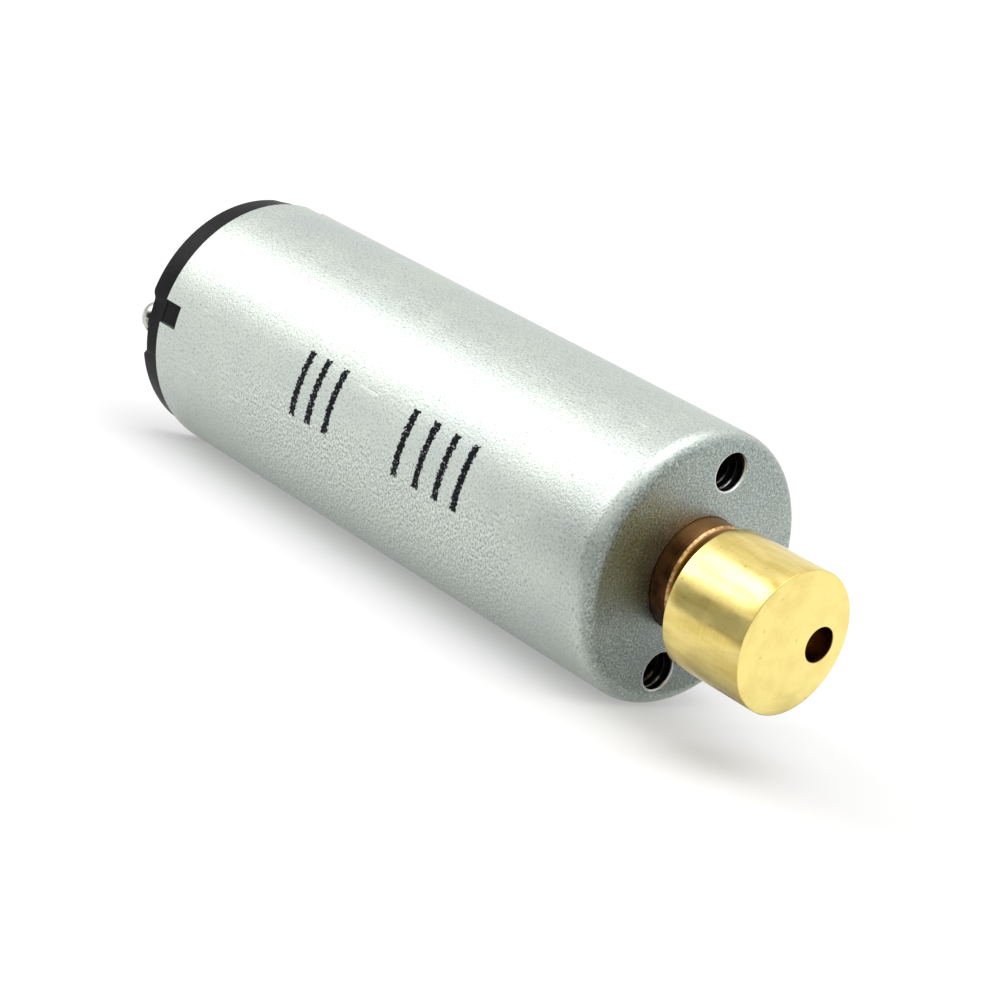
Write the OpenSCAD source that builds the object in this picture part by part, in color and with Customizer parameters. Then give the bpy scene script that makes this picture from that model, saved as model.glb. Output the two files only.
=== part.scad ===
// Small cylindrical DC motor with an eccentric weight on its shaft.
// Sizes are in millimetres. The origin is the centre of the front mounting face, on the shaft's axis.
// +X points along the shaft towards the weight, and the two tapped screw holes lie on the Z axis.
// The motor is coreless: a bell-shaped winding turns in the gap between a fixed magnet and the can.

/* [Can] */
// Outside diameter of the can
can_d = 12; // [12:0.1:14]
// Length of the can, from the mounting face to its rear edge
can_len = 29.5; // [29:0.1:36]
// Thickness of the drawn side wall
can_wall = 0.5; // [0.4:0.05:0.6]
// Thickness of the front wall, which is tapped for the screws
front_wall = 1.2; // [1:0.1:1.5]
// Radius of the rounded front edge
front_edge_r = 0.8; // [0.4:0.1:0.8]

/* [Mounting screws] */
// Diameter of the circle that the two tapped holes lie on
screw_pcd = 8.7; // [8.4:0.1:8.8]
// Radius of each tapped hole
screw_hole_r = 0.8; // [0.6:0.05:0.8]

/* [Boss and bearings] */
// Diameter of the boss around the shaft
boss_d = 4.9; // [4.6:0.1:5.6]
// Height of the boss above the mounting face
boss_h = 1.05; // [0.6:0.05:1.5]
// Outside diameter of the three sleeve bearings
bearing_d = 3; // [2.6:0.1:3.2]
// Radial play of the shaft in its bearings
running_gap = 0.02; // [0.01:0.01:0.05]

/* [Shaft and weight] */
// Diameter of the shaft
shaft_d = 1.5; // [1.2:0.1:1.6]
// Distance from the mounting face to the shaft's front end
shaft_front = 5.9; // [5:0.1:6.5]
// Diameter of the eccentric weight
weight_d = 6.1; // [5:0.1:7]
// Distance from the mounting face to the weight
weight_start = 2.9; // [2.5:0.05:3.5]
// Length of the weight
weight_len = 4.1; // [3.5:0.05:6]
// Distance from the shaft's axis to the weight's own axis
weight_offset = 1.55; // [0.8:0.05:1.6]

/* [Magnet and winding] */
// Outside diameter of the ring magnet
magnet_d = 8; // [7.4:0.1:8]
// Radial thickness of the winding
coil_wall = 0.8; // [0.5:0.1:0.8]
// Air gap on each side of the winding
air_gap = 0.3; // [0.25:0.05:0.3]
// Number of commutator bars
bar_count = 5; // [3:2:7]

/* [End cap] */
// Height of the cap's rim behind the can
rim_h = 1.35; // [1.2:0.05:2]
// How far the rim lies inside the can's outer surface
rim_inset = 0.2; // [0.2:0.05:0.3]
// Width of each tab that sits in a notch of the can
tab_w = 1.1; // [0.8:0.1:2]
// Length of each tab along the can
tab_len = 1.2; // [1:0.1:2]
// Angle between the key tab and the tabs next to it
tab_turn = 98; // [80:1:100]

/* [Terminals and brushes] */
// Width of each terminal strip
terminal_w = 1.3; // [1:0.1:1.6]
// Thickness of the terminal strips
terminal_t = 0.3; // [0.2:0.05:0.3]
// How far a terminal stands out behind the rim
terminal_out = 0.5; // [0.4:0.1:3]
// Sideways offset of a terminal from the Y axis
terminal_shift = 0.8; // [0.5:0.1:0.9]
// Width of a brush along the shaft
brush_w = 1.8; // [1.4:0.1:2]

/* [Hidden] */
$fn = 96;

// Radii of the can and its bore, and of the shaft
can_r = can_d / 2;
bore_r = can_r - can_wall;
shaft_r = shaft_d / 2;
bearing_r = bearing_d / 2;
end_play = 0.1;
washer_t = 0.3;
slack = 1;

// The bearing tube carries the magnet on its outside and a bearing at each end
tube_r = 2;
tube_chamfer = 0.15;
magnet_front = -2.6;
magnet_len = 16;
magnet_chamfer = 0.2;
tube_rear = magnet_front - magnet_len - 0.6;
front_bearing_len = 3.2;
front_bearing_recess = 0.2;
inner_bearing_len = 2.8;

// The winding is a thin bell whose rear end is closed by the hub
coil_in_r = magnet_d / 2 + air_gap;
coil_out_r = coil_in_r + coil_wall;
coil_front = magnet_front + 0.4;
hub_front = tube_rear - end_play - washer_t;
hub_plate_front = hub_front - 1;
coil_rear = hub_plate_front - 1;
hub_rear = coil_rear - 0.4;
hub_boss_r = shaft_r + 0.65;
hub_flange_r = coil_in_r + 0.4;
band_t = 0.1;
band_len = 4;
tap_r = 0.1;
tap_end_r = coil_out_r - 0.2;

// The commutator sits on the shaft behind the hub
core_r = shaft_r + 0.4;
bar_r = core_r + 0.4;
bar_slot = 0.25;
collar_len = 0.4;
bar_rear = hub_rear - 4.2;
core_rear = bar_rear - 0.4;
riser_r = bar_r + 0.75;
riser_w = 0.6;
riser_t = 0.4;

// The end cap closes the can and holds the rear bearing
bearing_front = core_rear - washer_t - end_play;
bearing_rear = bearing_front - 2.5;
cap_rear = -can_len - rim_h;
cap_floor = -can_len + 0.7;
cap_plate_rear = cap_rear + 0.4;
cap_skirt_front = cap_floor + 2.2;
cap_skirt_r = bore_r - 0.8;
rim_r = can_r - rim_inset;
rim_in_r = rim_r - 1.5;
rim_round = 0.15;
tower_r = bearing_r + 0.7;
cap_boss_r = 2.4;
lip_r = shaft_r + 0.25;
tab_angles = [180, 180 - tab_turn, 180 + tab_turn, 0];
tab_fit = 0.02;
tab_inset = 0.25;
dip_angles = [10, 80, 190, 260];
dip_w = 2.8;
dip_depth = 0.35;

// Terminals and brushes are drawn on the +Y side and turned half round for the -Y side
terminal_y = 4.5;
foot_t = 0.3;
brush_t = 0.15;
brush_gap = 0.06;
brush_y = bar_r + brush_gap;
brush_front = bar_rear + 2.5;
brush_slit = 0.2;
post_low = 2.9;
post_high = 3.85;
solder_r = 0.85;
solder_sink = 0.4;
solder_lift = 0.05;
damper_t = 0.4;

// Turns a shape drawn along +Z so that it lies along +X
module along_x() {
    rotate([0, 90, 0]) children();
}

// Places a shape at a radius and at an angle from +Y towards +Z
module at_angle(angle, radius = 0) {
    rotate([angle, 0, 0]) translate([0, radius, 0]) children();
}

// Sweeps an outline in the Y-Z plane from one X to another
module plate_x(x_low, x_high) {
    translate([x_low, 0, 0]) rotate([90, 0, 90]) linear_extrude(x_high - x_low) children();
}

// A ring about the shaft's axis, with both outer edges chamfered
module ring(r_in, r_out, x_low, x_high, chamfer = 0) {
    along_x() rotate_extrude() polygon([
        [r_in, x_low],
        [r_out - chamfer, x_low],
        [r_out, x_low + chamfer],
        [r_out, x_high - chamfer],
        [r_out - chamfer, x_high],
        [r_in, x_high]
    ]);
}

// A box given by its lowest and highest corners
module box(low, high) {
    translate(low) cube(high - low);
}

// The half section of the can's outside, with its rounded front edge
module can_outline() {
    square_low = -can_len;
    translate([0, square_low]) square([can_r - front_edge_r, can_len]);
    translate([0, square_low]) square([can_r, can_len - front_edge_r]);
    translate([can_r - front_edge_r, -front_edge_r]) circle(front_edge_r);
}

// The half section of the space inside the can
module can_space() {
    corner = 0.3;
    depth = can_len - front_wall + slack;
    translate([0, -can_len - slack]) square([bore_r - corner, depth]);
    translate([0, -can_len - slack]) square([bore_r, depth - corner]);
    translate([bore_r - corner, -front_wall - corner]) circle(corner);
}

module can() {
    color("gainsboro") difference() {
        along_x() rotate_extrude() difference() {
            intersection() {
                can_outline();
                translate([0, -can_len]) square([can_r, can_len]);
            }
            can_space();
            translate([0, -can_len]) square([boss_d / 2, can_len + slack]);
        }
        for (angle = [90, 270])
            at_angle(angle, screw_pcd / 2) translate([-front_wall - slack, 0, 0])
                along_x() cylinder(r = screw_hole_r, h = front_wall + 2 * slack);
        for (angle = tab_angles)
            at_angle(angle) box(
                [-can_len - slack, bore_r - can_wall, -tab_w / 2],
                [-can_len + tab_len, can_r + slack, tab_w / 2]
            );
    }
}

module bearing_tube() {
    color("peru") along_x() rotate_extrude() polygon([
        [bearing_r, tube_rear],
        [tube_r, tube_rear],
        [tube_r, -front_wall],
        [boss_d / 2, -front_wall],
        [boss_d / 2, boss_h - tube_chamfer],
        [boss_d / 2 - tube_chamfer, boss_h],
        [bearing_r, boss_h]
    ]);
}

// A sintered sleeve bearing with running clearance on the shaft
module sleeve_bearing(x_low, x_high) {
    ring(shaft_r + running_gap, bearing_r, x_low, x_high);
}

module front_bearing() {
    front = boss_h - front_bearing_recess;
    color("chocolate") sleeve_bearing(front - front_bearing_len, front);
}

module inner_bearing() {
    color("chocolate") sleeve_bearing(tube_rear, tube_rear + inner_bearing_len);
}

module rear_bearing() {
    color("chocolate") sleeve_bearing(bearing_rear, bearing_front);
}

module magnet() {
    color("dimgray")
        ring(tube_r, magnet_d / 2, magnet_front - magnet_len, magnet_front, magnet_chamfer);
}

module shaft() {
    color("silver") ring(0, shaft_r, bearing_rear + washer_t, shaft_front, end_play);
}

module eccentric_weight() {
    color("gold") difference() {
        at_angle(180, weight_offset)
            ring(0, weight_d / 2, weight_start, weight_start + weight_len, end_play);
        translate([weight_start - slack, 0, 0])
            along_x() cylinder(r = shaft_r, h = weight_len + 2 * slack);
    }
}

module winding() {
    color("darkorange") ring(coil_in_r, coil_out_r, coil_rear, coil_front, 0.15);
}

module winding_band() {
    color("ivory")
        ring(coil_out_r, coil_out_r + band_t, coil_rear + 0.2, coil_rear + 0.2 + band_len);
}

// A plug in the winding's rear end, with a flange behind it and a boss on the shaft
module winding_hub() {
    color("darkkhaki") along_x() rotate_extrude() polygon([
        [shaft_r, hub_rear],
        [hub_flange_r, hub_rear],
        [hub_flange_r, coil_rear],
        [coil_in_r, coil_rear],
        [coil_in_r, hub_plate_front],
        [hub_boss_r, hub_plate_front],
        [hub_boss_r, hub_front],
        [shaft_r, hub_front]
    ]);
}

// One wire end for each commutator bar, from its riser over the back of the hub to the winding
module winding_taps() {
    start_r = riser_r + tap_r;
    bend_x = hub_rear - tap_r;
    riser_rear = hub_rear - collar_len - riser_t;
    color("darkorange") for (i = [0 : bar_count - 1])
        rotate([i * 360 / bar_count, 0, 0]) {
            translate([riser_rear, start_r, 0]) along_x() cylinder(r = tap_r, h = bend_x - riser_rear);
            translate([bend_x, start_r, 0]) sphere(r = tap_r);
            translate([bend_x, start_r, 0]) rotate([-90, 0, 0]) cylinder(r = tap_r, h = tap_end_r - start_r);
            translate([bend_x, tap_end_r, 0]) sphere(r = tap_r);
            translate([bend_x, tap_end_r, 0]) along_x() cylinder(r = tap_r, h = coil_rear - bend_x);
        }
}

module commutator_core() {
    color("saddlebrown") {
        ring(shaft_r, core_r, core_rear, hub_rear);
        ring(core_r, bar_r, hub_rear - collar_len, hub_rear);
    }
}

// Copper bars around the core, each with a riser that its wire end is welded to
module commutator_bars() {
    color("orange") difference() {
        union() {
            ring(core_r, bar_r, bar_rear, hub_rear - collar_len);
            for (i = [0 : bar_count - 1])
                rotate([i * 360 / bar_count, 0, 0]) box(
                    [hub_rear - collar_len - riser_t, core_r + 0.1, -riser_w / 2],
                    [hub_rear - collar_len, riser_r, riser_w / 2]
                );
        }
        for (i = [0 : bar_count - 1])
            rotate([(i + 0.5) * 360 / bar_count, 0, 0]) box(
                [bar_rear - slack, 0, -bar_slot / 2],
                [hub_rear, riser_r + slack, bar_slot / 2]
            );
        ring(0, core_r, bar_rear - slack, hub_rear);
    }
}

module front_washer() {
    color("white") ring(shaft_r, hub_boss_r, hub_front, hub_front + washer_t);
}

module rear_washer() {
    color("white") ring(shaft_r, hub_boss_r, core_rear - washer_t, core_rear);
}

// The half section of the end cap
module cap_outline() {
    difference() {
        union() {
            translate([0, cap_rear]) square([rim_r - rim_round, rim_h]);
            translate([0, cap_rear + rim_round]) square([rim_r, rim_h - rim_round]);
            translate([rim_r - rim_round, cap_rear + rim_round]) circle(rim_round);
            translate([0, -can_len]) square([bore_r, cap_skirt_front + can_len]);
        }
        translate([0, cap_floor]) square([cap_skirt_r, can_len]);
        translate([cap_boss_r, cap_rear - slack])
            square([rim_in_r - cap_boss_r, cap_plate_rear - cap_rear + slack]);
    }
}

module end_cap() {
    color("black") difference() {
        union() {
            along_x() rotate_extrude() intersection() {
                cap_outline();
                translate([0, cap_rear]) square([can_r, can_len]);
            }
            ring(bearing_r, tower_r, cap_floor, bearing_front);
            for (angle = tab_angles)
                at_angle(angle) box(
                    [-can_len, bore_r - can_wall / 2, -tab_w / 2 + tab_fit],
                    [-can_len + tab_len - tab_fit, can_r - tab_inset, tab_w / 2 - tab_fit]
                );
        }
        ring(0, bearing_r, bearing_rear, bearing_front + slack);
        ring(0, lip_r, cap_rear - slack, bearing_front);
        for (angle = dip_angles)
            at_angle(angle) box(
                [cap_rear - slack, rim_in_r - slack / 4, -dip_w / 2],
                [cap_rear + dip_depth, can_r + slack, dip_w / 2]
            );
        for (turn = [0, 180])
            rotate([turn, 0, 0]) {
                terminal_strip();
                terminal_foot();
            }
    }
}

// The flat strip that passes out through the cap
module terminal_strip() {
    box(
        [cap_rear - terminal_out, terminal_y, terminal_shift - terminal_w / 2],
        [cap_floor + foot_t, terminal_y + terminal_t, terminal_shift + terminal_w / 2]
    );
}

// The terminal's foot on the cap's floor, from the strip to the post that carries the brush
module terminal_foot() {
    side = terminal_shift + terminal_w / 2;
    back = terminal_shift - terminal_w / 2;
    post_y = brush_y + brush_t;
    plate_x(cap_floor, cap_floor + foot_t) polygon([
        [terminal_y, back],
        [terminal_y, side],
        [terminal_y - 0.7, side + 0.4],
        [2.6, post_high],
        [post_y, post_high],
        [post_y, post_low],
        [2.9, 1.5],
        [3.4, back]
    ]);
}

// A tinned strip, its foot and the upright post for the brush, bent from one piece
module terminal() {
    color("silver") {
        terminal_strip();
        terminal_foot();
        box(
            [cap_floor + foot_t, brush_y + brush_t, post_low],
            [brush_front, brush_y + brush_t + terminal_t, post_high]
        );
    }
}

module terminal_left() {
    terminal();
}

module terminal_right() {
    rotate([180, 0, 0]) terminal();
}

// A bead of solder over the end of a terminal, flat where it faces the cap
module solder() {
    middle = cap_rear + dip_depth - solder_lift - solder_sink;
    color("lightgray") difference() {
        translate([middle, terminal_y + terminal_t, terminal_shift])
            along_x() rotate_extrude() intersection() {
                circle(solder_r);
                translate([0, -solder_r]) square([solder_r, solder_r + solder_sink]);
            }
        terminal_strip();
    }
}

module solder_left() {
    solder();
}

module solder_right() {
    rotate([180, 0, 0]) solder();
}

// A two-fingered leaf spring that bears on the commutator, with a turned-out tip
module brush() {
    tip = -1.2;
    lead = 0.5;
    color("gold") difference() {
        plate_x(brush_front - brush_w, brush_front) polygon([
            [brush_y, post_high],
            [brush_y + brush_t, post_high],
            [brush_y + brush_t, tip],
            [brush_y + brush_t + lead, tip - lead],
            [brush_y + lead, tip - lead],
            [brush_y, tip]
        ]);
        box(
            [brush_front - (brush_w + brush_slit) / 2, 0, tip - slack],
            [brush_front - (brush_w - brush_slit) / 2, brush_y + slack, post_low - 1]
        );
    }
}

module brush_left() {
    brush();
}

module brush_right() {
    rotate([180, 0, 0]) brush();
}

// A rubber pad on the back of each brush that damps its chatter
module damper() {
    edge = 0.2;
    color("darkslategray") box(
        [brush_front - brush_w + edge, brush_y + brush_t, 0.5],
        [brush_front - edge, brush_y + brush_t + damper_t, 1.5]
    );
}

module damper_left() {
    damper();
}

module damper_right() {
    rotate([180, 0, 0]) damper();
}

can();
bearing_tube();
front_bearing();
inner_bearing();
magnet();
shaft();
eccentric_weight();
winding();
winding_band();
winding_hub();
winding_taps();
commutator_core();
commutator_bars();
front_washer();
rear_washer();
end_cap();
rear_bearing();
terminal_left();
terminal_right();
solder_left();
solder_right();
brush_left();
brush_right();
damper_left();
damper_right();
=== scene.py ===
import math

import bmesh
import bpy
from mathutils import Matrix, Vector


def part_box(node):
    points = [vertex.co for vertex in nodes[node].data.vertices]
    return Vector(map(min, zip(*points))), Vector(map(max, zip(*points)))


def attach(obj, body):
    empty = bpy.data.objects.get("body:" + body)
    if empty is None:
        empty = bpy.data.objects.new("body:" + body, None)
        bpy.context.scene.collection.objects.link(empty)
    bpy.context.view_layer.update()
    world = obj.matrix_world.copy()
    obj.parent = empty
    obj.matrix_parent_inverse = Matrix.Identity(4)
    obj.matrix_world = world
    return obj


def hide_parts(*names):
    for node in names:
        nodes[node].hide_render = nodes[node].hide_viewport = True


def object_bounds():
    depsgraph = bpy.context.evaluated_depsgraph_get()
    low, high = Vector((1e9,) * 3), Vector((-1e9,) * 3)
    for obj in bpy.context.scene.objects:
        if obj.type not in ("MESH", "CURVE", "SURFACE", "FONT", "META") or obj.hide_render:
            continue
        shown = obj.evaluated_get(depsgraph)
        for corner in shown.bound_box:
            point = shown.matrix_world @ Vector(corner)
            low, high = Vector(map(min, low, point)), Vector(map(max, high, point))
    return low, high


# The looks of a small vibration motor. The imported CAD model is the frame: its front mounting face is at
# x 0, with the shaft along +X. The ten pieces that are rebuilt here take their CAD node's place. Every
# other node keeps its mesh and gets softened edges and a material. Lengths are in metres, and angles
# run from +Y towards +Z.
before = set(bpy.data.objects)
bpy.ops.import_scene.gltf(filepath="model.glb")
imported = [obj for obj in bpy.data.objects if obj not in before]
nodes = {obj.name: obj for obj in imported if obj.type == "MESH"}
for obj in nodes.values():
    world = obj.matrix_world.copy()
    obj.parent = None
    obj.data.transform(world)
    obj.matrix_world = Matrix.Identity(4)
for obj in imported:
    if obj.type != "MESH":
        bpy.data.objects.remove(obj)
cad_low, cad_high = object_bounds()

MM = 0.001
# How many faces a turned piece has round its axis
STEPS = 240
# Points closer than this are one, and CAD edges are rounded this wide
WELD = 0.001 * MM
SOFT_EDGE = 0.04 * MM

# Can: a drawn steel cup with its open end at the rear
CAN_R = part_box("can")[1].z
CAN_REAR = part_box("can")[0].x
CAN_WALL = 0.5 * MM
FRONT_WALL = 1.2 * MM
FRONT_EDGE_R = 0.8 * MM
SHEET_EDGE = 0.08 * MM
NOTCH_HALF = 0.55 * MM
NOTCH_FRONT = CAN_REAR + 1.2 * MM
NOTCH_ANGLES = [0, 82, 180, 278]

# Two M2 holes, tapped through the front wall
SCREW_AT = 4.35 * MM
TAP_R = 0.8 * MM
THREAD_DEPTH = 0.12 * MM
THREAD_PITCH = 0.4 * MM
THREAD_START = 50
THREAD_FLANK = 2.4
COUNTERSINK = 0.03 * MM

# Boss, bearings and shaft
BOSS_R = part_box("bearing_tube")[1].z
BOSS_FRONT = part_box("bearing_tube")[1].x
TUBE_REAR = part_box("bearing_tube")[0].x
TUBE_R = 2.0 * MM
BEARING_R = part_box("front_bearing")[1].z
SHAFT_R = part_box("shaft")[1].z
RUNNING_GAP = 0.02 * MM

# Eccentric weight
WEIGHT_LOW, WEIGHT_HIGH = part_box("eccentric_weight")
WEIGHT_R = (WEIGHT_HIGH.z - WEIGHT_LOW.z) / 2
WEIGHT_Y = (WEIGHT_HIGH.y + WEIGHT_LOW.y) / 2

# End cap
CAP_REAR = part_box("end_cap")[0].x
CAP_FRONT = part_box("end_cap")[1].x
RIM_R = CAN_R - 0.2 * MM
RIM_IN_R = RIM_R - 1.5 * MM
PLATE_REAR = CAP_REAR + 0.4 * MM
PLATE_FRONT = CAN_REAR + 0.7 * MM
SKIRT_R = CAN_R - CAN_WALL
SKIRT_IN_R = SKIRT_R - 0.8 * MM
CAP_BOSS_R = 2.4 * MM
TOWER_R = BEARING_R + 0.7 * MM
DIP_ANGLES = [10, 80, 190, 260]
DIP_HALF = 1.4 * MM
DIP_DEPTH = 0.35 * MM
TAB_INSET = 0.25 * MM
TAB_FIT = 0.02 * MM

# Terminal strips, which pass through the cap
TERMINAL_HALF = 0.65 * MM
TERMINAL_T = 0.3 * MM
TERMINAL_SHIFT = 0.8 * MM
TERMINAL_FIT = 0.05 * MM

# Plain ink bars on the can's side, in millimetres: their places along X, half their width, and the
# middle and half of their length round the can, from the top towards +Y
INK_BARS = [-19.2, -18.1, -16.9, -12.1, -10.7, -9.4, -8.2]
INK_WIDTH = 0.19
INK_MIDDLE = -9.1
INK_HALF = 1.5


def mesh_piece(name, points, faces):
    """A new object in the scene, with its normals turned outwards."""
    mesh = bpy.data.meshes.new(name)
    mesh.from_pydata([tuple(p) for p in points], [], faces)
    piece = bpy.data.objects.new(name, mesh)
    bpy.context.scene.collection.objects.link(piece)
    work = bmesh.new()
    work.from_mesh(mesh)
    bmesh.ops.recalc_face_normals(work, faces=work.faces)
    work.to_mesh(mesh)
    work.free()
    return piece


def released(name, made):
    """Turns a bmesh into an object, and frees it."""
    points = [v.co.copy() for v in made.verts]
    faces = [[v.index for v in f.verts] for f in made.faces]
    made.free()
    return mesh_piece(name, points, faces)


def arc(x, radius, size, start, end, count):
    """Points on a circle of that size about (x, radius). It starts along +X at 0 degrees."""
    angles = [math.radians(start + (end - start) * i / count) for i in range(count + 1)]
    return [(x + size * math.cos(a), radius + size * math.sin(a)) for a in angles]


def gap_angles(radius, half):
    """The first and last angle of each notch, with that half width at that radius."""
    turn = math.asin(half / radius)
    return [(math.radians(a) - turn, math.radians(a) + turn) for a in NOTCH_ANGLES]


def lathe(name, outline, centre_y=0.0, gaps=(), span=(0, 0), shape=None):
    """Turns a closed outline of (x, radius) points about a line along X.

    In each gap, a pair of angles, the outline goes straight between span's two points, and the cut is
    closed. shape(x, radius, angle) returns where a point goes instead.
    """
    step = math.tau / STEPS
    edges = [a % math.tau for gap in gaps for a in gap]

    def near_edge(angle):
        return any(abs((angle - e + math.pi) % math.tau - math.pi) <= step / 3 for e in edges)

    turns = sorted([step * i for i in range(STEPS) if not near_edge(step * i)] + edges)
    count = len(turns)

    points = []
    rings = []
    for x, radius in outline:
        ring = []
        for angle in turns if radius > 0 else [0.0]:
            at_x, at_r = shape(x, radius, angle) if shape else (x, radius)
            ring.append(len(points))
            points.append((at_x, centre_y + at_r * math.cos(angle), at_r * math.sin(angle)))
        rings.append(ring if radius > 0 else ring * count)

    def in_gap(angle):
        return any((angle - low) % math.tau < high - low for low, high in gaps)

    faces = []

    def strip(first, second, j):
        k = (j + 1) % count
        face = [rings[first][j], rings[second][j], rings[second][k], rings[first][k]]
        face = list(dict.fromkeys(face))
        if len(face) > 2:
            faces.append(face)

    for j in range(count):
        middle = turns[j] + ((turns[(j + 1) % count] - turns[j]) % math.tau) / 2
        cut = in_gap(middle)
        for i in range(len(outline)):
            if not (cut and span[0] <= i < span[1]):
                strip(i, (i + 1) % len(outline), j)
        if cut:
            strip(span[0], span[1], j)
        if cut != in_gap(turns[j] - step / 100):
            faces.append([rings[i][j] for i in range(span[0], span[1] + 1)])
    return mesh_piece(name, points, faces)


def block(name, low, high, turn, soft):
    """A box between two corners, turned about the X axis, with its edges rounded by soft."""
    made = bmesh.new()
    bmesh.ops.create_cube(made, size=1)
    size = Vector(high) - Vector(low)
    middle = (Vector(high) + Vector(low)) / 2
    for v in made.verts:
        v.co = Vector([v.co[i] * size[i] for i in range(3)]) + middle
    bmesh.ops.bevel(made, geom=made.edges[:], offset=soft, segments=4, profile=0.5, affect="EDGES")
    bmesh.ops.transform(made, matrix=Matrix.Rotation(math.radians(turn), 4, "X"), verts=made.verts)
    return released(name, made)


def bake(piece):
    """Puts the result of a piece's modifiers into its mesh, with no face of more than four corners."""
    graph = bpy.context.evaluated_depsgraph_get()
    mesh = bpy.data.meshes.new_from_object(piece.evaluated_get(graph))
    work = bmesh.new()
    work.from_mesh(mesh)
    bmesh.ops.remove_doubles(work, verts=work.verts, dist=WELD / 2)
    wide = [f for f in work.faces if len(f.verts) > 4]
    bmesh.ops.triangulate(work, faces=wide, ngon_method="BEAUTY")
    work.to_mesh(mesh)
    work.free()
    piece.modifiers.clear()
    piece.data = mesh
    mesh.name = piece.name


def combine(piece, others, operation="DIFFERENCE"):
    """Cuts the other pieces out of a piece, or joins them to it, and removes them."""
    for other in others:
        change = piece.modifiers.new("combine", "BOOLEAN")
        change.object = other
        change.operation = operation
        change.solver = "MANIFOLD"
    bake(piece)
    for other in others:
        bpy.data.objects.remove(other)


def threaded_rod(name, centre_z):
    """The shape that a tap cuts through the front wall, with a countersink at the front."""
    around = 72
    per_turn = 16
    past = 0.29 * MM
    length = FRONT_WALL + 2 * past
    count = round(length / THREAD_PITCH * per_turn)
    points = []
    for i in range(count + 1):
        x = past - length * i / count
        for j in range(around):
            share = (x / THREAD_PITCH + j / around + 0.5 - THREAD_START / 360) % 1
            groove = max(0.0, 1 - THREAD_FLANK * abs(share - 0.5)) * THREAD_DEPTH
            mouth = min(2 * COUNTERSINK, max(0.0, COUNTERSINK + x))
            radius = TAP_R + max(groove, mouth)
            angle = math.tau * (j + 0.5) / around
            points.append((x, radius * math.cos(angle), centre_z + radius * math.sin(angle)))
    faces = [list(range(around)), list(range(count * around, (count + 1) * around))]
    for i in range(count):
        for j in range(around):
            k = (j + 1) % around
            low, high = i * around, (i + 1) * around
            faces.append([low + j, low + k, high + k, high + j])
    return mesh_piece(name, points, faces)


# ---------------------------------------------------------------- the pieces


def make_can():
    """A cup with a rounded front edge, notches in its rear edge and two tapped holes in its front wall."""
    inner_r = CAN_R - CAN_WALL
    inner_edge = 0.3 * MM
    notch_ring = NOTCH_FRONT + 0.1 * MM
    rear = CAN_REAR + SHEET_EDGE
    front = -FRONT_WALL
    outline = [(NOTCH_FRONT, inner_r), (rear, inner_r)]
    outline += arc(rear, inner_r + SHEET_EDGE, SHEET_EDGE, 270, 180, 4)[1:]
    outline += arc(rear, CAN_R - SHEET_EDGE, SHEET_EDGE, 180, 90, 4)
    outline += [(NOTCH_FRONT, CAN_R)]
    last = len(outline) - 1
    outline += [(notch_ring, CAN_R)]
    outline += [(CAN_REAR * (1 - i / 12), CAN_R) for i in range(1, 12)]
    outline += arc(-FRONT_EDGE_R, CAN_R - FRONT_EDGE_R, FRONT_EDGE_R, 90, 0, 14)
    outline += [(0, CAN_R - FRONT_EDGE_R - SHEET_EDGE / 2), (0, BOSS_R + 2 * SHEET_EDGE)]
    outline += arc(-SHEET_EDGE / 2, BOSS_R + SHEET_EDGE / 2, SHEET_EDGE / 2, 0, -90, 3)
    outline += [(front, BOSS_R)]
    outline += arc(front - inner_edge, inner_r - inner_edge, inner_edge, 0, 90, 5)
    outline += [(notch_ring, inner_r)]
    can = lathe("can_shell", outline, gaps=gap_angles(CAN_R, NOTCH_HALF), span=(0, last))
    combine(can, [threaded_rod("tap_upper", SCREW_AT), threaded_rod("tap_lower", -SCREW_AT)])
    return can


def make_boss():
    """The boss and the tube behind it in one, with a rounded rim round the front bearing."""
    chamfer = 0.14 * MM
    soft = 0.02 * MM
    step = 0.15 * MM
    outline = [(TUBE_REAR, BEARING_R), (TUBE_REAR, TUBE_R - soft), (TUBE_REAR + soft, TUBE_R)]
    outline += [(-FRONT_WALL, TUBE_R), (-FRONT_WALL, BOSS_R - soft), (-FRONT_WALL + soft, BOSS_R)]
    outline += [(-step, BOSS_R), (BOSS_FRONT - chamfer - soft, BOSS_R)]
    outline += [(BOSS_FRONT - chamfer, BOSS_R - soft / 3), (BOSS_FRONT - soft / 2, BOSS_R - chamfer)]
    outline += [(BOSS_FRONT, BOSS_R - chamfer - soft), (BOSS_FRONT, BEARING_R + soft)]
    outline += [(BOSS_FRONT - soft, BEARING_R)]
    return lathe("bearing_housing", outline)


def make_sleeve(name, node):
    """A sleeve bearing with chamfered ends."""
    low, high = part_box(node)
    chamfer = 0.15 * MM
    bore = SHAFT_R + RUNNING_GAP
    outline = [(low.x + chamfer, bore), (low.x, bore + chamfer), (low.x, BEARING_R - chamfer)]
    outline += [(low.x + chamfer, BEARING_R), (high.x - chamfer, BEARING_R), (high.x, BEARING_R - chamfer)]
    outline += [(high.x, bore + chamfer), (high.x - chamfer, bore)]
    return lathe(name, outline)


def make_shaft():
    """A ground pin with rounded ends."""
    low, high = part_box("shaft")
    tip = 0.15 * MM
    outline = [(low.x, 0)]
    outline += arc(low.x + tip, SHAFT_R - tip, tip, 180, 90, 4)
    outline += arc(high.x - tip, SHAFT_R - tip, tip, 90, 0, 4)
    outline += [(high.x, 0)]
    return lathe("motor_shaft", outline)


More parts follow.
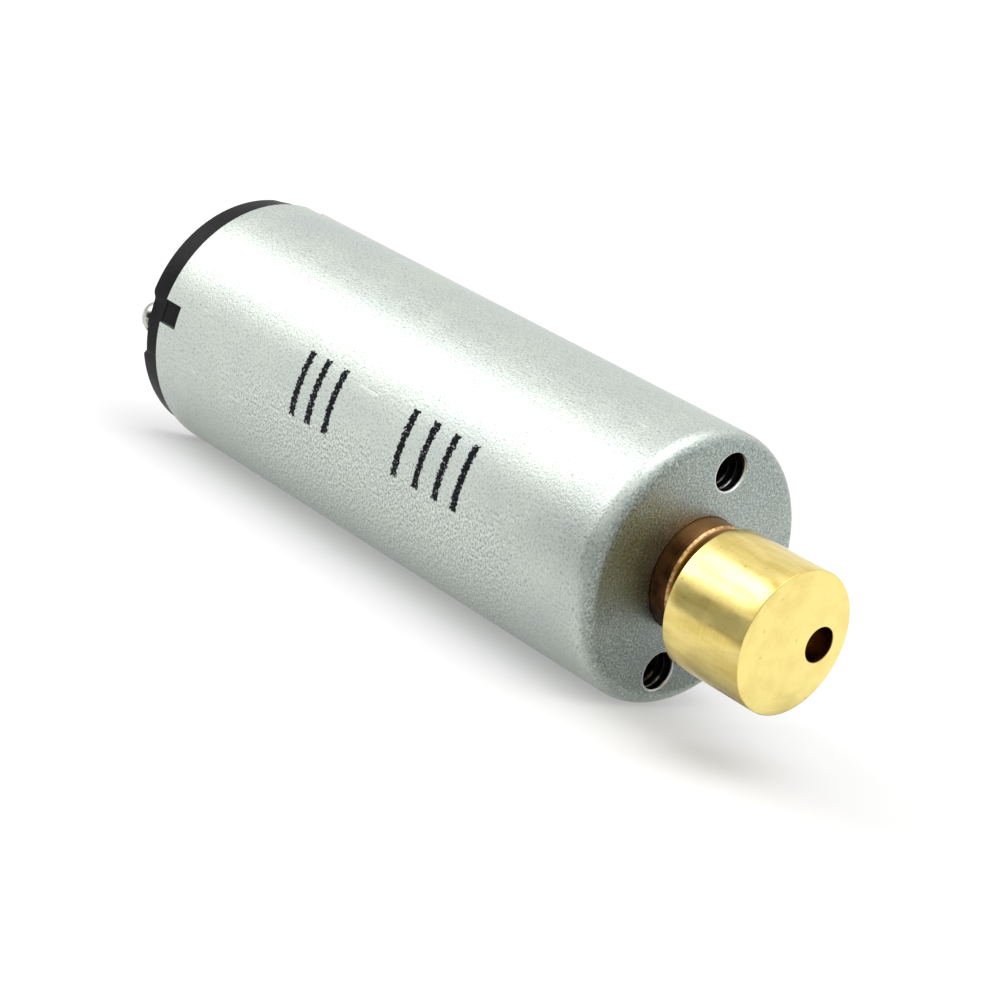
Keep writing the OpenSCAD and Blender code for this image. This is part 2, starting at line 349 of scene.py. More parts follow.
def make_weight():
    """A turned cylinder on its own centre line, bored through on the shaft's axis."""
    edge = 0.03 * MM
    mouth = 0.02 * MM
    low, high = WEIGHT_LOW.x, WEIGHT_HIGH.x
    outline = [(low, 0)]
    outline += arc(low + edge, WEIGHT_R - edge, edge, 180, 90, 4)
    outline += [(low + (high - low) * i / 6, WEIGHT_R) for i in range(1, 6)]
    outline += arc(high - edge, WEIGHT_R - edge, edge, 90, 0, 4)
    outline += [(high, 0)]
    weight = lathe("weight_body", outline, centre_y=WEIGHT_Y)
    past = 0.1 * MM
    bore = [(low - past, 0), (low - past, SHAFT_R + mouth + past), (low + mouth, SHAFT_R)]
    bore += [(high - mouth, SHAFT_R), (high + past, SHAFT_R + mouth + past), (high + past, 0)]
    combine(weight, [lathe("weight_bore", bore)])
    return weight


def dip(angle):
    """How deep the rim's rear edge is cut at an angle, from 0 to 1."""
    ramp = 0.35 * MM
    deepest = 0.0
    for middle in DIP_ANGLES:
        away = abs((angle - math.radians(middle) + math.pi) % math.tau - math.pi) * RIM_R
        share = min(1.0, max(0.0, (DIP_HALF + ramp / 2 - away) / ramp))
        deepest = max(deepest, share * share * (3 - 2 * share))
    return deepest


def make_cap():
    """A moulded cap: rim with dips, plate, skirt, bearing tower, four tabs and slots for the terminals."""
    soft = 0.15 * MM
    edge = 0.1 * MM
    foot = 0.12 * MM
    lip_r = SHAFT_R + 0.25 * MM
    bearing_rear, bearing_front = (corner.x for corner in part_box("rear_bearing"))

    def shape(x, radius, angle):
        """Lowers the rim into its dips."""
        share = min(1.0, max(0.0, (PLATE_REAR - x) / (PLATE_REAR - CAP_REAR)))
        on_rim = radius > RIM_IN_R - edge
        return (x + share * DIP_DEPTH * dip(angle) if on_rim else x, radius)

    outline = [(CAP_REAR, lip_r)]
    outline += arc(CAP_REAR + edge, CAP_BOSS_R - edge, edge, 180, 90, 3)
    outline += arc(PLATE_REAR - foot, CAP_BOSS_R + foot, foot, 270, 360, 3)
    outline += arc(PLATE_REAR - foot, RIM_IN_R - foot, foot, 0, 90, 3)
    outline += arc(CAP_REAR + edge, RIM_IN_R + edge, edge, 270, 180, 3)
    outline += arc(CAP_REAR + soft, RIM_R - soft, soft, 180, 90, 6)
    outline += [(CAN_REAR - edge, RIM_R), (CAN_REAR, RIM_R - edge), (CAN_REAR, SKIRT_R)]
    outline += arc(CAP_FRONT - edge, SKIRT_R - edge, edge, 90, 0, 3)
    outline += arc(CAP_FRONT - edge, SKIRT_IN_R + edge, edge, 0, -90, 3)
    outline += arc(PLATE_FRONT + foot, SKIRT_IN_R - foot, foot, 90, 180, 3)
    outline += arc(PLATE_FRONT + foot, TOWER_R + foot, foot, 180, 270, 3)
    outline += arc(bearing_front - edge, TOWER_R - edge, edge, 90, 0, 3)
    outline += [(bearing_front, BEARING_R), (bearing_rear, BEARING_R), (bearing_rear, lip_r)]
    cap = lathe("cap_body", outline, shape=shape)

    tab_half = NOTCH_HALF - TAB_FIT
    tabs = []
    for angle in NOTCH_ANGLES:
        low = (CAN_REAR - 0.5 * MM, SKIRT_R - 0.3 * MM, -tab_half)
        high = (NOTCH_FRONT - TAB_FIT, CAN_R - TAB_INSET, tab_half)
        tabs.append(block(f"tab_{angle}", low, high, angle, 0.06 * MM))
    combine(cap, tabs, "UNION")

    half = TERMINAL_HALF + TERMINAL_FIT
    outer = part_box("terminal_left")[1].y
    low = (CAP_REAR - MM, outer - TERMINAL_T - TERMINAL_FIT, TERMINAL_SHIFT - half)
    high = (PLATE_FRONT + MM, outer + TERMINAL_FIT, TERMINAL_SHIFT + half)
    slots = [("slot_left", 0), ("slot_right", 180)]
    combine(cap, [block(name, low, high, turn, 0.04 * MM) for name, turn in slots])
    return cap


def make_solder(name, node, turn):
    """An uneven bead, flat where it faces the cap."""
    low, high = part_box(node)
    size = (high.z - low.z) / 2
    middle = Vector((low.x + size, (low.y + high.y) / 2, (low.z + high.z) / 2))
    flat = high.x - middle.x
    made = bmesh.new()
    bmesh.ops.create_icosphere(made, subdivisions=5, radius=1)
    for v in made.verts:
        ray = v.co.normalized()
        swell = 0.5 + 0.5 * math.sin(3.1 * ray.z + 2.3 * ray.y * turn + 1.7 * ray.x)
        slump = max(0.0, -ray.z) * max(0.0, -ray.x)
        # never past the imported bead's radius
        reach = size * (0.94 + 0.05 * swell - 0.06 * slump)
        if ray.x * reach > flat:
            reach = flat / ray.x
        v.co = ray * reach + middle
    return released(name, made)


# ---------------------------------------------------------------- the materials


# Colours, as linear red, green and blue. A pair is the two ends of a tone.
STEEL_SIDE = ((0.50, 0.545, 0.515), (0.54, 0.58, 0.53))
# the end face's tone is darker than the side's, partly a duller finish and partly painted shade
DULL_AND_SHADED_FACE = ((0.31, 0.36, 0.335), (0.345, 0.39, 0.36))
LIGHT_GRAIN = (0.66, 0.70, 0.66)
DARK_GRAIN = (0.12, 0.14, 0.13)
LIGHT_SPECKLE = (0.74, 0.78, 0.74)
DARK_SPECKLE = (0.24, 0.27, 0.25)
SPARK = (0.80, 0.84, 0.80)
SCRATCH = (0.85, 0.88, 0.85)
# The next three colours are painted light in the tapped holes: a highlight round their edges, a glint on
# their crests over shade, and shade deep inside them.
HOLE_EDGE_HIGHLIGHT = (0.78, 0.80, 0.77)
CREST_SHADE_AND_GLINT = ((0.03, 0.03, 0.03), (0.75, 0.78, 0.75))
PAINTED_HOLE_SHADE = (0.004, 0.004, 0.004)
BLACK_INK = (0.008, 0.009, 0.011)
# The next two colours are painted shade on the boss's body and painted light on its top.
SHADED_BRONZE = ((0.045, 0.018, 0.006), (0.13, 0.055, 0.02))
LIT_BRONZE_TOP = (0.38, 0.19, 0.07)
BRONZE_RING = (0.24, 0.12, 0.05)
BRONZE_SPOT = (0.05, 0.02, 0.01)
BRONZE_END = (0.26, 0.135, 0.05)
BRONZE_RIM = ((0.36, 0.20, 0.08), (0.66, 0.45, 0.22))
SINTERED = ((0.42, 0.22, 0.09), (0.58, 0.34, 0.15))
SINTERED_PORE = (0.05, 0.03, 0.02)
BRASS_SIDE = ((0.83, 0.67, 0.235), (0.70, 0.53, 0.15))
BRASS_FACE = ((0.91, 0.76, 0.265), (0.87, 0.70, 0.235))
BRASS_RING = (0.95, 0.82, 0.38)
BRASS_SPECK = (0.40, 0.26, 0.08)
BRASS_BORE = (0.34, 0.18, 0.06)
GROUND_STEEL = ((0.56, 0.57, 0.58), (0.66, 0.67, 0.68))
OILY_STEEL = (0.16, 0.11, 0.05)
BLACK_NYLON = ((0.004, 0.004, 0.0045), (0.009, 0.009, 0.010))
FIBRE = (0.05, 0.05, 0.05)
TIN = ((0.72, 0.72, 0.70), (0.60, 0.60, 0.58))
SOLDER = ((0.56, 0.56, 0.53), (0.26, 0.26, 0.24))
# painted shade from the cap, on the front of the solder beads
SOLDER_CAP_SHADE = (0.02, 0.02, 0.016)


class Finish:
    """A node material. Its coordinates are the row frame's, in millimetres."""

    def __init__(self, name, metallic, **surface):
        self.material = bpy.data.materials.new(name)
        self.material.use_nodes = True
        self.tree = self.material.node_tree
        self.shader = self.tree.nodes["Principled BSDF"]
        self.shader.inputs["Metallic"].default_value = metallic
        for key, value in surface.items():
            socket = key.replace("_", " ").title().replace("Ior", "IOR")
            self.shader.inputs[socket].default_value = value
        self.place = self.node(
            "ShaderNodeVectorMath",
            {0: self.node("ShaderNodeTexCoord", {}, "Object"), "Scale": 1 / MM},
            operation="SCALE",
        )

    def node(self, kind, inputs, output=0, **settings):
        """Adds a node and returns one of its outputs. An input takes a value or another node's output."""
        made = self.tree.nodes.new(kind)
        for key, value in settings.items():
            setattr(made, key, value)
        for key, value in inputs.items():
            if isinstance(value, bpy.types.NodeSocket):
                self.tree.links.new(value, made.inputs[key])
            else:
                made.inputs[key].default_value = value
        return made.outputs[output]

    def maths(self, operation, *values):
        return self.node("ShaderNodeMath", dict(enumerate(values)), operation=operation)

    def times(self, first, second):
        return self.maths("MULTIPLY", first, second)

    def plus(self, first, second):
        return self.maths("ADD", first, second)

    def parts(self):
        """The place's x, y and z."""
        split = self.node("ShaderNodeSeparateXYZ", {0: self.place}).node
        return split.outputs[0], split.outputs[1], split.outputs[2]

    def polar(self, centre_y=0.0):
        """Distance from a line along X, and the angle round it from the top."""
        _, y, z = self.parts()
        y = self.maths("SUBTRACT", y, centre_y / MM)
        return self.length(y, z), self.maths("ARCTAN2", y, z)

    def length(self, first, second):
        """How long the diagonal of two distances is."""
        return self.maths("SQRT", self.plus(self.times(first, first), self.times(second, second)))

    def stretch(self, place, x, y, z):
        return self.node("ShaderNodeVectorMath", {0: place, 1: (x, y, z)}, operation="MULTIPLY")

    def vector(self, x, y, z=0.0):
        return self.node("ShaderNodeCombineXYZ", {0: x, 1: y, 2: z})

    def noise(self, scale, detail=3.0, place=None, rough=0.5):
        inputs = {"Vector": place or self.place, "Scale": scale, "Detail": detail, "Roughness": rough}
        return self.node("ShaderNodeTexNoise", inputs, "Fac")

    def lines(self, along, scale, detail=3.0):
        """Noise that changes along one number only, such as turning marks."""
        inputs = {"W": along, "Scale": scale, "Detail": detail}
        return self.node("ShaderNodeTexNoise", inputs, "Fac", noise_dimensions="1D")

    def fit(self, value, low, high, to_low=0.0, to_high=1.0):
        """Maps low to high onto another range, with smooth ends."""
        inputs = {"Value": value, "From Min": low, "From Max": high, "To Min": to_low, "To Max": to_high}
        return self.node("ShaderNodeMapRange", inputs, interpolation_type="SMOOTHSTEP")

    def fade(self, value, low, high):
        """1 up to low, and 0 from high."""
        return self.fit(value, low, high, 1.0, 0.0)

    def mix(self, share, first, second):
        """A colour between two others."""
        made = self.tree.nodes.new("ShaderNodeMix")
        made.data_type = "RGBA"
        sockets = [s for s in made.inputs if s.type == "RGBA"]
        factor = next(s for s in made.inputs if s.name == "Factor" and s.type == "VALUE")
        for socket, value in ((factor, share), (sockets[0], first), (sockets[1], second)):
            if isinstance(value, bpy.types.NodeSocket):
                self.tree.links.new(value, socket)
            else:
                socket.default_value = (*value, 1) if isinstance(value, tuple) else value
        return next(s for s in made.outputs if s.type == "RGBA")

    def layer(self, base, share, most, colour):
        """Lays a colour over a base. It covers most of it where share is 1."""
        return self.mix(self.times(share, most), base, colour)

    def away(self, value, middle):
        """How far a value is from a middle."""
        return self.maths("ABSOLUTE", self.maths("SUBTRACT", value, middle))

    def scratches(self, place, scale, width, share):
        """Thin wandering lines, kept only where a coarse noise is above share."""
        line = self.fade(self.away(self.noise(scale, 2.0, place), 0.5), 0.0, width)
        return self.times(line, self.fit(self.noise(0.5, 2.0), share, share + 0.08))

    def ink_bars(self, x, unrolled):
        """Plain bars of jetted ink across the can's side, ragged and a little starved of ink."""
        ragged = self.fit(self.noise(7.0, 2.0, unrolled), 0.3, 0.7, -0.06, 0.06)
        soft = 0.02
        bars = 0.0
        for middle in INK_BARS:
            bar = self.fade(self.plus(self.away(x, middle), ragged), INK_WIDTH - soft, INK_WIDTH + soft)
            bars = self.maths("MAXIMUM", bars, bar)
        around = self.node("ShaderNodeSeparateXYZ", {0: unrolled}).node.outputs[1]
        along = self.plus(self.away(around, INK_MIDDLE), ragged)
        within = self.fade(along, INK_HALF - 2 * soft, INK_HALF)
        starved = self.fit(self.noise(9.0, 2.0, unrolled), 0.62, 0.68, 1.0, 0.25)
        return self.times(self.times(bars, within), starved)

    def colour(self, value):
        self.tree.links.new(value, self.shader.inputs["Base Color"])

    def roughness(self, value):
        self.tree.links.new(value, self.shader.inputs["Roughness"])

    def bump(self, *layers):
        """Each layer is a height from 0 to 1, and its depth in millimetres."""
        normal = None
        for height, depth in layers:
            inputs = {"Height": height, "Strength": 1.0, "Distance": depth * MM}
            if normal:
                inputs["Normal"] = normal
            normal = self.node("ShaderNodeBump", inputs)
        self.tree.links.new(normal, self.shader.inputs["Normal"])


def tapped_holes(finish, base):
    """Paints shade into the threads of the two holes, a painted glint on the crests low in each hole and a
    painted highlight round their front edges.
    """
    x, y, z = finish.parts()
    tap_r = TAP_R / MM
    hole_z = finish.times(finish.maths("SIGN", z), SCREW_AT / MM)
    above = finish.maths("SUBTRACT", z, hole_z)
    hole_r = finish.length(y, above)
    # painted highlight: a bright ring round each hole's front edge
    rim = finish.times(finish.fade(hole_r, tap_r + 0.07, tap_r + 0.10), finish.fit(x, -0.09, -0.05))
    # painted shade: the threads inside each hole are nearly black
    bore = finish.times(finish.fade(hole_r, 1.0, 1.1), finish.fit(x, -0.05, -0.09))
    crest = finish.fade(hole_r, tap_r + 0.01, tap_r + 0.04)
    # painted glint: the crests are bright low in each hole and dark with painted shade above
    lower_glint = finish.mix(finish.fade(above, -0.55, -0.3), *CREST_SHADE_AND_GLINT)
    base = finish.layer(base, rim, 0.8, HOLE_EDGE_HIGHLIGHT)
    return finish.mix(bore, base, finish.mix(crest, PAINTED_HOLE_SHADE, lower_glint))


def can_steel():
    """Plated deep-drawn steel: fine grain, faint clouds and hairline scratches, darker on the end face,
    partly from a duller finish and partly from painted shade.
    """
    finish = Finish("can_steel", 1.0)
    x, _, z = finish.parts()
    radius, angle = finish.polar()
    unrolled = finish.vector(x, finish.times(angle, CAN_R / MM), radius)
    face = finish.fit(x, -0.5, -0.1)
    clouds = finish.fit(finish.noise(0.3, 3.0), 0.3, 0.7)
    rolled = finish.noise(1.0, 2.0, finish.stretch(unrolled, 12.0, 8.0, 8.0), 0.6)
    cast = finish.noise(10.0, 3.0, rough=0.7)
    grain = finish.node("ShaderNodeMix", {0: face, 2: rolled, 3: cast})
    sparks = finish.fit(finish.noise(11.0, 1.0), 0.58, 0.66)
    pits = finish.fit(finish.noise(6.0, 2.0), 0.64, 0.74)
    drawn = finish.scratches(finish.stretch(unrolled, 0.12, 1.1, 0.2), 1.1, 0.004, 0.52)
    handled = finish.scratches(finish.stretch(finish.place, 1.0, 1.3, 0.22), 0.9, 0.004, 0.50)
    scratch = finish.maths("MAXIMUM", drawn, finish.times(handled, face))
    # the lower half of the side, where the grain is strongest
    flank = finish.times(finish.fit(z, 0.5, -1.5), finish.fit(x, -26.0, -20.0))
    flank = finish.times(flank, finish.fit(x, -2.0, -7.0))

    # the end face is darker: partly a duller finish, partly painted shade
    base = finish.mix(face, finish.mix(clouds, *STEEL_SIDE), finish.mix(clouds, *DULL_AND_SHADED_FACE))
    contrast = finish.fit(face, 0.0, 1.0, 0.45, 0.85)
    base = finish.layer(base, contrast, finish.fit(grain, 0.5, 0.7), LIGHT_GRAIN)
    base = finish.layer(base, contrast, finish.fit(grain, 0.48, 0.3), DARK_GRAIN)
    base = finish.layer(base, flank, finish.fit(grain, 0.5, 0.62, 0.0, 0.8), LIGHT_SPECKLE)
    base = finish.layer(base, flank, finish.fit(grain, 0.49, 0.36, 0.0, 0.75), DARK_SPECKLE)
    base = finish.layer(base, sparks, finish.fit(face, 0.0, 1.0, 0.1, 0.4), SPARK)
    base = finish.layer(base, pits, 0.4, DARK_GRAIN)
    base = finish.layer(base, scratch, 0.45, SCRATCH)
    base = tapped_holes(finish, base)
    finish.colour(finish.mix(finish.ink_bars(x, unrolled), base, BLACK_INK))
    worn = finish.fit(finish.noise(1.3, 3.0), 0.35, 0.7, 0.37, 0.44)
    finish.roughness(finish.plus(worn, finish.fit(grain, 0.3, 0.7, -0.04, 0.04)))
    finish.bump((grain, 0.02), (clouds, 0.008), (scratch, 0.004))
    return finish.material


def boss_bronze():
    """Copper-brown turned bronze in dark, stained tones that are painted shade, lighter towards its top by
    painted light, and worn bright on the edge of its front rim.
    """
    finish = Finish("boss_bronze", 1.0)
    x, _, z = finish.parts()
    front = BOSS_FRONT / MM
    rim_start = finish.fit(x, front - 0.17, front - 0.14)
    rim = finish.times(rim_start, finish.fit(x, front - 0.03, front - 0.08))
    end = finish.fit(x, front - 0.07, front - 0.02)
    # painted light: the boss is lighter towards its top
    top = finish.fit(z, 1.1, 2.6)
    rings = finish.lines(x, 9.0)
    grain = finish.noise(16.0, 3.0, rough=0.6)
    stain = finish.noise(1.6, 4.0)
    # painted shade: the body's dark stained tones
    base = finish.mix(finish.fit(stain, 0.35, 0.7), *SHADED_BRONZE)
    base = finish.mix(top, base, LIT_BRONZE_TOP)
    base = finish.mix(finish.fit(rings, 0.4, 0.8, 0.0, 0.25), base, BRONZE_RING)
    base = finish.mix(finish.fit(grain, 0.55, 0.75, 0.0, 0.6), base, BRONZE_SPOT)
    base = finish.mix(end, base, BRONZE_END)
    worn = finish.mix(finish.fit(finish.noise(4.5, 3.0), 0.4, 0.62), *BRONZE_RIM)
    finish.colour(finish.mix(rim, base, worn))
    finish.roughness(finish.fit(grain, 0.3, 0.7, 0.28, 0.44))
    finish.bump((rings, 0.01), (grain, 0.006))
    return finish.material


def sintered_bronze():
    """Porous oil-soaked bronze."""
    finish = Finish("sintered_bronze", 1.0)
    pores = finish.node("ShaderNodeTexVoronoi", {"Vector": finish.place, "Scale": 9.0}, "Distance")
    holes = finish.fade(pores, 0.18, 0.3)
    stain = finish.noise(1.2, 3.0)
    base = finish.mix(finish.fit(stain, 0.3, 0.7), *SINTERED)
    finish.colour(finish.layer(base, holes, 0.75, SINTERED_PORE))
    finish.roughness(finish.fit(finish.noise(5.0), 0.3, 0.7, 0.3, 0.5))
    finish.bump((finish.maths("SUBTRACT", 1.0, holes), 0.012))
    return finish.material


def weight_brass():
    """Free-cutting brass: a drawn skin on the side, a clean turned face and an oily bore."""
    finish = Finish("weight_brass", 1.0)
    x, y, z = finish.parts()
    radius, angle = finish.polar(WEIGHT_Y)
    on_face = finish.fade(radius, WEIGHT_R / MM - 0.06, WEIGHT_R / MM - 0.02)
    around, across = finish.lines(x, 7.0, 4.0), finish.lines(radius, 6.0, 4.0)
    turned = finish.node("ShaderNodeMix", {0: on_face, 2: around, 3: across})
    drawn = finish.noise(1.0, 3.0, finish.vector(finish.times(x, 0.35), finish.times(angle, 5.0)))
    stain = finish.noise(1.1, 4.0)
    specks = finish.fit(finish.noise(3.2, 2.0), 0.69, 0.76)
    side = finish.mix(finish.fit(drawn, 0.4, 0.65), *BRASS_SIDE)
    face = finish.mix(finish.fit(stain, 0.35, 0.68), *BRASS_FACE)
    base = finish.mix(on_face, side, face)
    base = finish.mix(finish.fit(turned, 0.3, 0.7, 0.0, 0.12), base, BRASS_RING)
    base = finish.layer(base, specks, 0.5, BRASS_SPECK)
    bore = finish.fade(finish.length(y, z), SHAFT_R / MM + 0.01, SHAFT_R / MM + 0.04)
    finish.colour(finish.mix(bore, base, BRASS_BORE))
    finish.roughness(finish.fit(stain, 0.35, 0.7, 0.17, 0.28))
    finish.bump((turned, 0.0015), (drawn, 0.003))
    return finish.material


def shaft_steel():
    """Ground steel with very fine grinding lines and an oily front end."""
    finish = Finish("shaft_steel", 1.0)
    x, _, _ = finish.parts()
    ground = finish.lines(x, 14.0, 4.0)
    haze = finish.noise(1.5, 3.0)
    steel = finish.mix(finish.fit(haze, 0.3, 0.7), *GROUND_STEEL)
    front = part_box("shaft")[1].x / MM
    finish.colour(finish.mix(finish.fit(x, front - 0.2, front - 0.1), steel, OILY_STEEL))
    finish.roughness(finish.fit(ground, 0.3, 0.7, 0.14, 0.26))
    finish.bump((ground, 0.0015))
    return finish.material


def cap_plastic():
    """Black glass-filled nylon with a satin moulded skin."""
    finish = Finish("cap_plastic", 0.0, specular_ior_level=0.075)
    skin = finish.noise(9.0, 4.0, rough=0.6)
    flow = finish.noise(0.8, 3.0)
    fibres = finish.fit(finish.noise(14.0, 2.0), 0.66, 0.78)
    base = finish.mix(finish.fit(flow, 0.3, 0.7), *BLACK_NYLON)
    finish.colour(finish.layer(base, fibres, 0.3, FIBRE))
    finish.roughness(finish.fit(flow, 0.3, 0.7, 0.34, 0.46))
    finish.bump((skin, 0.006))
    return finish.material


def tinned(name, tones, low_rough, high_rough, foot=None):
    """Tin or solder with a crystalline skin. In front of foot, a place along X, it is darkened by painted
    shade from the cap.
    """
    finish = Finish(name, 1.0)
    cells = finish.node("ShaderNodeTexVoronoi", {"Vector": finish.place, "Scale": 4.0}, "Color")
    crystal = finish.node("ShaderNodeSeparateColor", {0: cells})
    haze = finish.noise(2.2, 4.0)
    base = finish.mix(finish.fit(haze, 0.35, 0.7), *tones)
    if foot:
        x, _, _ = finish.parts()
        edge = finish.plus(x, finish.fit(haze, 0.3, 0.7, -0.15, 0.15))
        # painted shade: the front of the bead, next to the cap, is darkened
        base = finish.mix(finish.fit(edge, foot - 0.1, foot + 0.1), base, SOLDER_CAP_SHADE)
    finish.colour(base)
    grown = finish.times(crystal, 0.06)
    finish.roughness(finish.plus(finish.fit(haze, 0.3, 0.7, low_rough, high_rough), grown))
    finish.bump((haze, 0.02), (finish.noise(10.0), 0.004))
    return finish.material


def plain_finish(name, metallic, first, second, rough, scale, depth):
    """A two-tone surface whose colour, gloss and relief all follow the same grain."""
    finish = Finish(name, metallic)
    grain = finish.noise(scale, 4.0)
    blotch = finish.noise(scale / 6, 3.0)
    finish.colour(finish.layer(first, finish.fit(blotch, 0.3, 0.7), finish.fit(grain, 0.2, 0.8), second))
    finish.roughness(finish.fit(grain, 0.3, 0.7, rough - 0.07, rough + 0.07))
    finish.bump((grain, depth))
    return finish.material


# How metallic each is, its two tones, its roughness, the scale of its grain and the depth of its relief
PLAIN_FINISHES = {
    "magnet_plate": (1.0, (0.34, 0.34, 0.35), (0.46, 0.46, 0.47), 0.34, 9.0, 0.006),
    "copper_wire": (1.0, (0.62, 0.24, 0.10), (0.78, 0.34, 0.15), 0.30, 8.0, 0.004),
    "glass_band": (0.0, (0.62, 0.58, 0.42), (0.80, 0.77, 0.62), 0.5, 6.0, 0.01),
    "hub_plastic": (0.0, (0.42, 0.36, 0.22), (0.55, 0.48, 0.32), 0.42, 7.0, 0.006),
    "bar_copper": (1.0, (0.72, 0.36, 0.20), (0.85, 0.50, 0.32), 0.26, 9.0, 0.003),
    "brush_alloy": (1.0, (0.72, 0.64, 0.44), (0.85, 0.78, 0.60), 0.24, 8.0, 0.003),
    "washer_nylon": (0.0, (0.74, 0.73, 0.68), (0.86, 0.85, 0.81), 0.45, 8.0, 0.004),
    "damper_rubber": (0.0, (0.03, 0.035, 0.035), (0.07, 0.08, 0.08), 0.7, 10.0, 0.01),
}
# Where painted shade from the cap darkens the front of the solder beads, in millimetres along X
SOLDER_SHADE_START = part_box("solder_left")[0].x / MM + 0.95
FINISHES = {
    "can_steel": can_steel(),
    "boss_bronze": boss_bronze(),
    "sintered_bronze": sintered_bronze(),
    "weight_brass": weight_brass(),
    "shaft_steel": shaft_steel(),
    "cap_plastic": cap_plastic(),
    "terminal_tin": tinned("terminal_tin", TIN, 0.18, 0.34),
    "solder": tinned("solder", SOLDER, 0.16, 0.34, SOLDER_SHADE_START),
}
for finish_name, look in PLAIN_FINISHES.items():
    FINISHES[finish_name] = plain_finish(finish_name, *look)
# The CAD nodes that keep their mesh
SLOT_OF_NODE = {
    "magnet": "magnet_plate",
    "winding": "copper_wire",
    "winding_band": "glass_band",
    "winding_hub": "hub_plastic",
    "winding_taps": "copper_wire",
    "commutator_core": "hub_plastic",
    "commutator_bars": "bar_copper",
    "front_washer": "washer_nylon",
    "rear_washer": "washer_nylon",
    "terminal_left": "terminal_tin",
    "terminal_right": "terminal_tin",
    "brush_left": "brush_alloy",
    "brush_right": "brush_alloy",
    "damper_left": "damper_rubber",
    "damper_right": "damper_rubber",
}
# The slots between the copper bars are too narrow for the rounding that the other nodes get
SHARP_NODES = ("commutator_bars",)


def paint(piece, slot):
    """Gives a piece the material of its slot."""
    piece.data.materials.clear()
    piece.data.materials.append(FINISHES[slot])


def install(piece, node, body, slot):
    """Puts a detailed piece in the place of its CAD node, with smooth shading up to a crease angle."""
    piece.data.shade_smooth()
    piece.data.set_sharp_from_angle(angle=math.radians(32))
    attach(piece, body)
    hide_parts(node)
    paint(piece, slot)


def soften(node, slot):
    """Gives a CAD node rounded edges and its material. Its mesh stays as it was packed."""
    piece = nodes[node]
    paint(piece, slot)
    if node in SHARP_NODES:
        return
    weld = piece.modifiers.new("weld", "WELD")
    weld.merge_threshold = WELD
    bevel = piece.modifiers.new("edge", "BEVEL")
    bevel.width = SOFT_EDGE
    bevel.segments = 2
    bevel.limit_method = "ANGLE"
    bevel.angle_limit = math.radians(40)
    bevel.harden_normals = True


install(make_can(), "can", "stator", "can_steel")
install(make_boss(), "bearing_tube", "stator", "boss_bronze")
install(make_sleeve("front_sleeve", "front_bearing"), "front_bearing", "stator", "sintered_bronze")
install(make_sleeve("inner_sleeve", "inner_bearing"), "inner_bearing", "stator", "sintered_bronze")
install(make_sleeve("rear_sleeve", "rear_bearing"), "rear_bearing", "stator", "sintered_bronze")
install(make_shaft(), "shaft", "rotor", "shaft_steel")
install(make_weight(), "eccentric_weight", "rotor", "weight_brass")
install(make_cap(), "end_cap", "stator", "cap_plastic")
install(make_solder("bead_left", "solder_left", 1), "solder_left", "stator", "solder")
install(make_solder("bead_right", "solder_right", -1), "solder_right", "stator", "solder")
for node_name, slot_name in SLOT_OF_NODE.items():
    soften(node_name, slot_name)


# ---------------------------------------------------------------- the floor, the light and the camera


def stage_piece(name, corners, grey, glow=0.0):
    """A flat matt piece of the studio, which may be lit from behind."""
    mesh = bpy.data.meshes.new(name)
    mesh.from_pydata(corners, [], [(0, 1, 2, 3)])
    piece = bpy.data.objects.new(name, mesh)
    bpy.context.scene.collection.objects.link(piece)
    finish = Finish(f"{name}_paper", 0.0, roughness=0.9, specular_ior_level=0.2, emission_strength=glow)
    finish.shader.inputs["Emission Color"].default_value = (1, 1, 1, 1)
    finish.colour(finish.mix(finish.noise(0.02, 2.0), (0.98 * grey,) * 3, (grey,) * 3))
    mesh.materials.append(finish.material)
    return piece


def stage_floor():
    """A plain pale light table under the lowest point of the part."""
    size = 4.0
    z = cad_low.z
    corners = [(-size, -size, z), (size, -size, z), (size, size, z), (-size, size, z)]
    stage_piece("floor", corners, 0.52, 0.30)


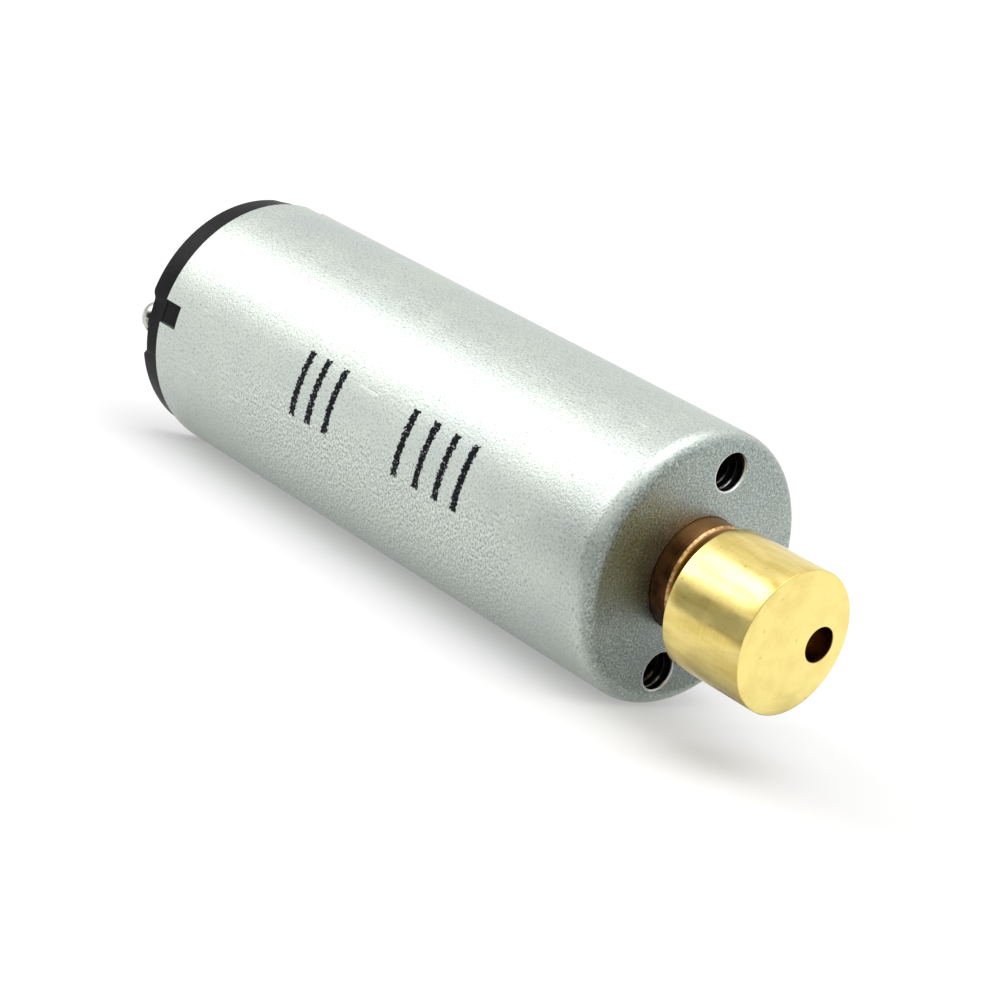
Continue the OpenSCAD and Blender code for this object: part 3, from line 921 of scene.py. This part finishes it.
def dark_cards():
    """Grey cards beside and before the weight, which only show as dark bands in the metal, and darker
    patches on the floor before and under it: painted shadow, which also only shows in the metal.
    """
    y, low, top = -16 * MM, cad_low.z, 3.3 * MM
    left, middle, right = -10 * MM, 4 * MM, 45 * MM
    far, high, corner_top = 25 * MM, 22 * MM, 12 * MM
    near, wide, deep, table = MM, 11 * MM, 12 * MM, low + 0.05 * MM
    side = [(left, y, low), (middle, y, low), (middle, y, top), (left, y, top)]
    corner = [(middle, y, low), (right, y, low), (right, y, corner_top), (middle, y, top)]
    front = [(right, y, low), (right, far, low), (right, far, high), (right, y, high)]
    shaded_floor = [(near, y, table), (right, y, table), (right, near, table), (near, near, table)]
    shade = [(near, near, table), (wide, near, table), (wide, deep, table), (near, deep, table)]
    for name, grey, corners in (
        ("card_side", 0.47, side),
        ("card_corner", 0.47, corner),
        ("card_front", 0.30, front),
        # the last two are painted shadow on the floor, before and under the weight
        ("painted_floor_shade", 0.60, shaded_floor),
        ("painted_weight_shadow", 0.12, shade),
    ):
        card = stage_piece(name, corners, grey)
        card.visible_camera = False
        card.visible_diffuse = False
        card.visible_transmission = False
        card.visible_shadow = False


def sun_light(name, toward, half_angle, radiance):
    """A distant round soft box in the direction toward. Its half width is in degrees."""
    lamp = bpy.data.lights.new(name, "SUN")
    lamp.angle = math.radians(2 * half_angle)
    lamp.energy = radiance * math.pi * math.sin(math.radians(half_angle)) ** 2
    light = bpy.data.objects.new(name, lamp)
    bpy.context.scene.collection.objects.link(light)
    light.rotation_euler = Vector(toward).to_track_quat("Z", "Y").to_euler()


def studio():
    """Even white light all round, a large soft box behind the part and a larger one above it."""
    world = bpy.data.worlds.new("studio")
    world.use_nodes = True
    background = world.node_tree.nodes["Background"]
    background.inputs["Color"].default_value = (1.0, 1.0, 1.0, 1)
    background.inputs["Strength"].default_value = 1.02
    bpy.context.scene.world = world
    bpy.context.scene.view_settings.view_transform = "Standard"
    sun_light("key", (-0.68, -0.46, 0.57), 19, 2.6)
    sun_light("overhead", (0.10, -0.10, 0.99), 28, 1.9)


def set_camera():
    """Looks at the part as the photo does, from a camera fitted to its outlines."""
    azimuth, elevation, roll = (math.radians(a) for a in (42.938, 12.199, 19.25))
    aim = Vector((-11.445, 0.08, -1.478)) * MM
    distance = 123.07 * MM
    back = Vector((
        math.sin(azimuth) * math.cos(elevation),
        -math.cos(azimuth) * math.cos(elevation),
        math.sin(elevation),
    ))
    right = Vector((math.cos(azimuth), math.sin(azimuth), 0))
    up = back.cross(right)
    level = Matrix((right, up, back)).transposed()
    data = bpy.data.cameras.new("camera")
    data.sensor_width = 36
    data.lens = 103.194
    data.clip_start, data.clip_end = 1 * MM, 20
    camera = bpy.data.objects.new("camera", data)
    bpy.context.scene.collection.objects.link(camera)
    turn = level @ Matrix.Rotation(roll, 3, "Z")
    camera.matrix_world = Matrix.Translation(aim + back * distance) @ turn.to_4x4()
    bpy.context.scene.camera = camera


stage_floor()
dark_cards()
studio()
set_camera()
